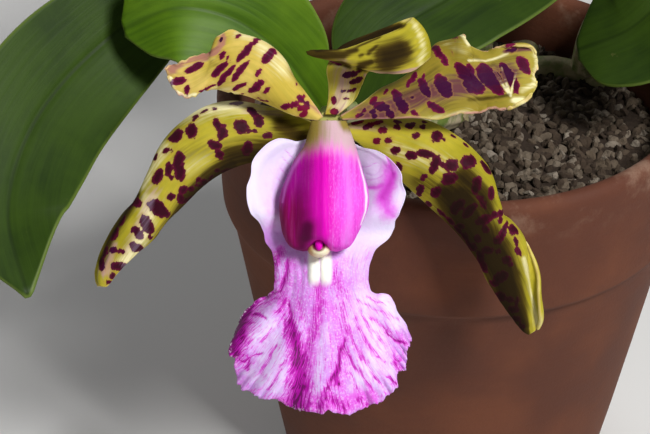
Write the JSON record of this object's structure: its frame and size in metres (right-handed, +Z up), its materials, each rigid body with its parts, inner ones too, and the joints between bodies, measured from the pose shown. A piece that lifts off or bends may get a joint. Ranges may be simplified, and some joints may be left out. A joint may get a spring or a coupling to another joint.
{
  "type": "potted cattleya orchid",
  "caption": "Cattleya orchid with one spotted yellow bloom, a spreading pink lip, leathery leaves on pseudobulbs and a clay pot of bark.",
  "frame": {"origin": "on the pot's axis, on the flat underside that the pot stands on", "axes": "+Z up along the pot's axis, -Y the side over which the bloom hangs and faces, +X to the bloom's right as seen from its front"},
  "size_m": [0.2092, 0.1811, 0.1935],
  "materials": {
    "clay": "matt unglazed clay",
    "bark": "dry bark and gravel",
    "rhizome": "dull green skin, papery in places",
    "pseudobulb": "satin green skin",
    "leaf": "satin, waxy upper face",
    "stalk": "satin",
    "sepal": "waxy, yellow-green with dark maroon spots",
    "petal": "waxy, yellow with maroon blotches",
    "lip": "soft satin, pink with magenta veins",
    "column": "satin magenta",
    "anther_cap": "waxy cream"
  },
  "bodies": {
    "root": {"pot": "clay", "potting_mix": "bark", "rhizome": "rhizome", "pseudobulb_1": "pseudobulb", "pseudobulb_2": "pseudobulb", "pseudobulb_3": "pseudobulb", "pseudobulb_4": "pseudobulb", "leaf_1_left": "leaf", "leaf_1_right": "leaf", "leaf_2_left": "leaf", "leaf_2_right": "leaf", "leaf_3_left": "leaf", "leaf_3_right": "leaf", "leaf_4_left": "leaf", "leaf_4_right": "leaf", "flower_stalk": "stalk", "dorsal_sepal": "sepal", "petal_left": "petal", "petal_right": "petal", "lateral_sepal_left": "sepal", "lateral_sepal_right": "sepal", "lip": "lip", "column": "column", "anther_cap": "anther_cap"}
  },
  "joints": []
}
